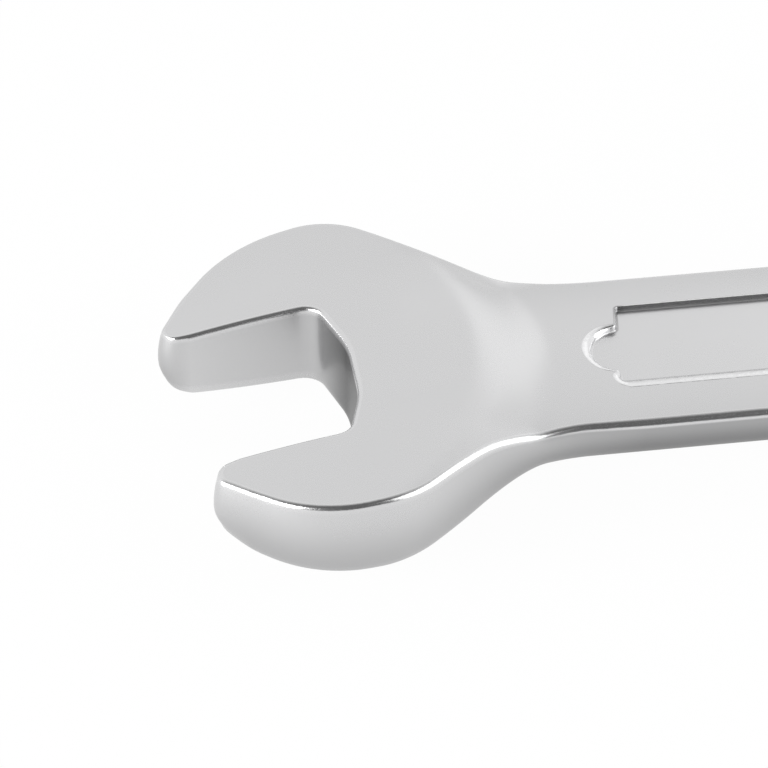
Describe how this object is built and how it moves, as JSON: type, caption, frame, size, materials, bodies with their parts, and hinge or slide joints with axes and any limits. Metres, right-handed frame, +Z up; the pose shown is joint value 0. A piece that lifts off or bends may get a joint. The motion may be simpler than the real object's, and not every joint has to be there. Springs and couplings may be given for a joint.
{
  "type": "combination wrench",
  "caption": "Combination wrench with an angled open end and a reversible ratcheting ring end on a flat shank with sunk panels.",
  "frame": {"origin": "centre of the ring socket, half way through the ring's thickness", "axes": "+X along the shank from the open end towards the ring end, +Y across it towards the upper jaw, +Z up out of the face that carries the lever"},
  "size_m": [0.1778, 0.0307, 0.0112],
  "materials": {
    "forging": "satin chrome on a forging, polished rims",
    "lever_metal": "satin chrome",
    "ring_steel": "machined and hardened, dull",
    "spring_steel": "dark spring steel",
    "seal_rubber": "matt"
  },
  "bodies": {
    "handle": {"body": "forging", "snap_ring": "spring_steel", "lever_seal": "seal_rubber"},
    "ratchet": {"ratchet_ring": "ring_steel"},
    "lever": {"reversing_lever": "lever_metal", "detent_ball": "ring_steel", "detent_spring": "spring_steel", "lever_clip": "spring_steel"},
    "pawl": {"pawl": "ring_steel"}
  },
  "joints": [
    {"name": "ratchet_spin", "type": "hinge", "parent": "handle", "child": "ratchet", "pos_m": [0, 0, 0], "axis": [0, 0, 1], "continuous": true},
    {"name": "lever_swing", "type": "hinge", "parent": "handle", "child": "lever", "pos_m": [-0.01434, 0, 0], "axis": [0, 0, 1], "range_deg": [0, 56]},
    {"name": "pawl_rock", "type": "hinge", "parent": "handle", "child": "pawl", "pos_m": [-0.01434, 0, 0], "axis": [0, 0, 1], "range_deg": [0, 12]}
  ],
  "couplings": [
    {"joint": "pawl_rock", "follows": "lever_swing", "ratio": 0.21429}
  ]
}
